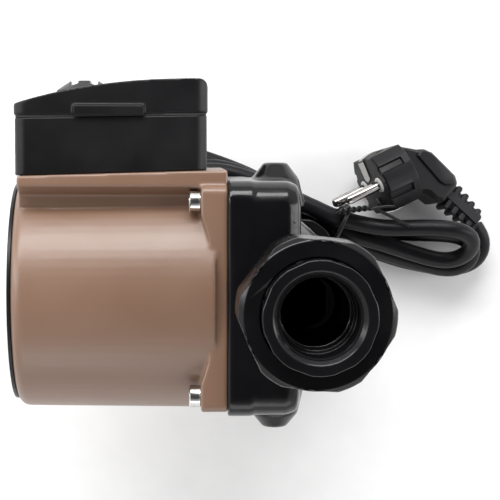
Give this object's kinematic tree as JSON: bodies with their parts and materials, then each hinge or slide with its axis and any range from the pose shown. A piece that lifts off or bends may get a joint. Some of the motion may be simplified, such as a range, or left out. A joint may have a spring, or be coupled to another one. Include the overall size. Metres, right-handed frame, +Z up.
{
  "type": "circulator pump",
  "caption": "Wet-rotor in-line circulator pump with pipe unions, terminal box with speed knob, and a mains lead folded into a tied hank with an angled earthed plug.",
  "frame": {"origin": "centre of the lower union's mouth, where the riser pipe enters", "axes": "+Z up the pipe towards the upper union, -X along the shaft towards the motor's free end, +Y towards the terminal box"},
  "size_m": [0.2265, 0.1478, 0.226],
  "materials": {
    "black_cast_iron": "gloss black stove paint over cast iron",
    "black_union": "gloss black paint over malleable iron",
    "stainless": "pressed stainless steel",
    "seal_rubber": "matt moulded rubber",
    "carbon": "machined carbon graphite",
    "lamination_steel": "stacked steel laminations",
    "copper_wire": "enamelled copper wire",
    "bronze_paint": "satin bronze-brown paint over die-cast aluminium",
    "black_cover": "satin black",
    "blank_plate": "satin aluminium label blank, no text",
    "screw_steel": "zinc-plated steel",
    "box_plastic": "fine-textured black moulding",
    "knob_plastic": "smooth black moulding",
    "switch_plastic": "ivory moulding",
    "capacitor_can": "drawn aluminium can",
    "gland_plastic": "black polyamide",
    "ceramic_shaft": "ground ceramic",
    "impeller_plastic": "moulded glass-filled plastic",
    "brass_screw": "turned brass",
    "plug_rubber": "satin black moulded plug",
    "pin_nickel": "nickel-plated brass",
    "cord_rubber": "satin black rubber sheath",
    "tie_plastic": "black coated wire"
  },
  "bodies": {
    "root": {"pump_housing": "black_cast_iron", "wear_ring": "stainless", "housing_gasket": "seal_rubber", "bearing_plate": "stainless", "front_bearing": "carbon", "rotor_can": "stainless", "rear_bearing": "carbon", "can_seal": "seal_rubber", "stator_stack": "lamination_steel", "stator_windings": "copper_wire", "motor_housing": "bronze_paint", "end_cover": "black_cover", "name_plate": "blank_plate", "vent_seal": "seal_rubber", "motor_screws": "screw_steel", "terminal_box_base": "box_plastic", "terminal_box_lid": "box_plastic", "box_seal": "seal_rubber", "box_screws": "screw_steel", "lid_screw": "screw_steel", "speed_switch": "switch_plastic", "terminal_block": "switch_plastic", "terminal_screws": "screw_steel", "capacitor": "capacitor_can", "cord_clamp": "box_plastic", "gland_body": "gland_plastic", "gland_nut": "gland_plastic", "cord_guard": "cord_rubber", "upper_union_tail": "black_union", "upper_union_gasket": "seal_rubber", "lower_union_tail": "black_union", "lower_union_gasket": "seal_rubber", "plug_body": "plug_rubber", "plug_pins": "pin_nickel", "plug_earth_contacts": "pin_nickel", "plug_strain_relief": "plug_rubber", "cord_lead": "cord_rubber", "cord_hank": "cord_rubber", "plug_lead": "cord_rubber", "cord_tie": "tie_plastic"},
    "rotor": {"shaft": "ceramic_shaft", "impeller": "impeller_plastic", "rotor_core": "lamination_steel", "thrust_bearing": "carbon", "impeller_clip": "stainless"},
    "knob": {"speed_knob": "knob_plastic", "switch_shaft": "switch_plastic"},
    "vent": {"vent_screw": "brass_screw"},
    "upper_nut": {"upper_union_nut": "black_union"},
    "lower_nut": {"lower_union_nut": "black_union"}
  },
  "joints": [
    {"name": "rotor_spin", "type": "hinge", "parent": "root", "child": "rotor", "pos_m": [-0.06, 0, 0.113], "axis": [1, 0, 0], "continuous": true},
    {"name": "speed_knob_turn", "type": "hinge", "parent": "root", "child": "knob", "pos_m": [-0.09, 0.085, 0.113], "axis": [0, 1, 0], "range_deg": [-60, 60]},
    {"name": "vent_screw_turn", "type": "hinge", "parent": "root", "child": "vent", "pos_m": [-0.12, 0, 0.113], "axis": [1, 0, 0], "range_deg": [0, 360]},
    {"name": "upper_nut_turn", "type": "hinge", "parent": "root", "child": "upper_nut", "pos_m": [0, 0, 0.203], "axis": [0, 0, 1], "range_deg": [0, 360]},
    {"name": "lower_nut_turn", "type": "hinge", "parent": "root", "child": "lower_nut", "pos_m": [0, 0, 0.023], "axis": [0, 0, 1], "range_deg": [0, 360]}
  ]
}
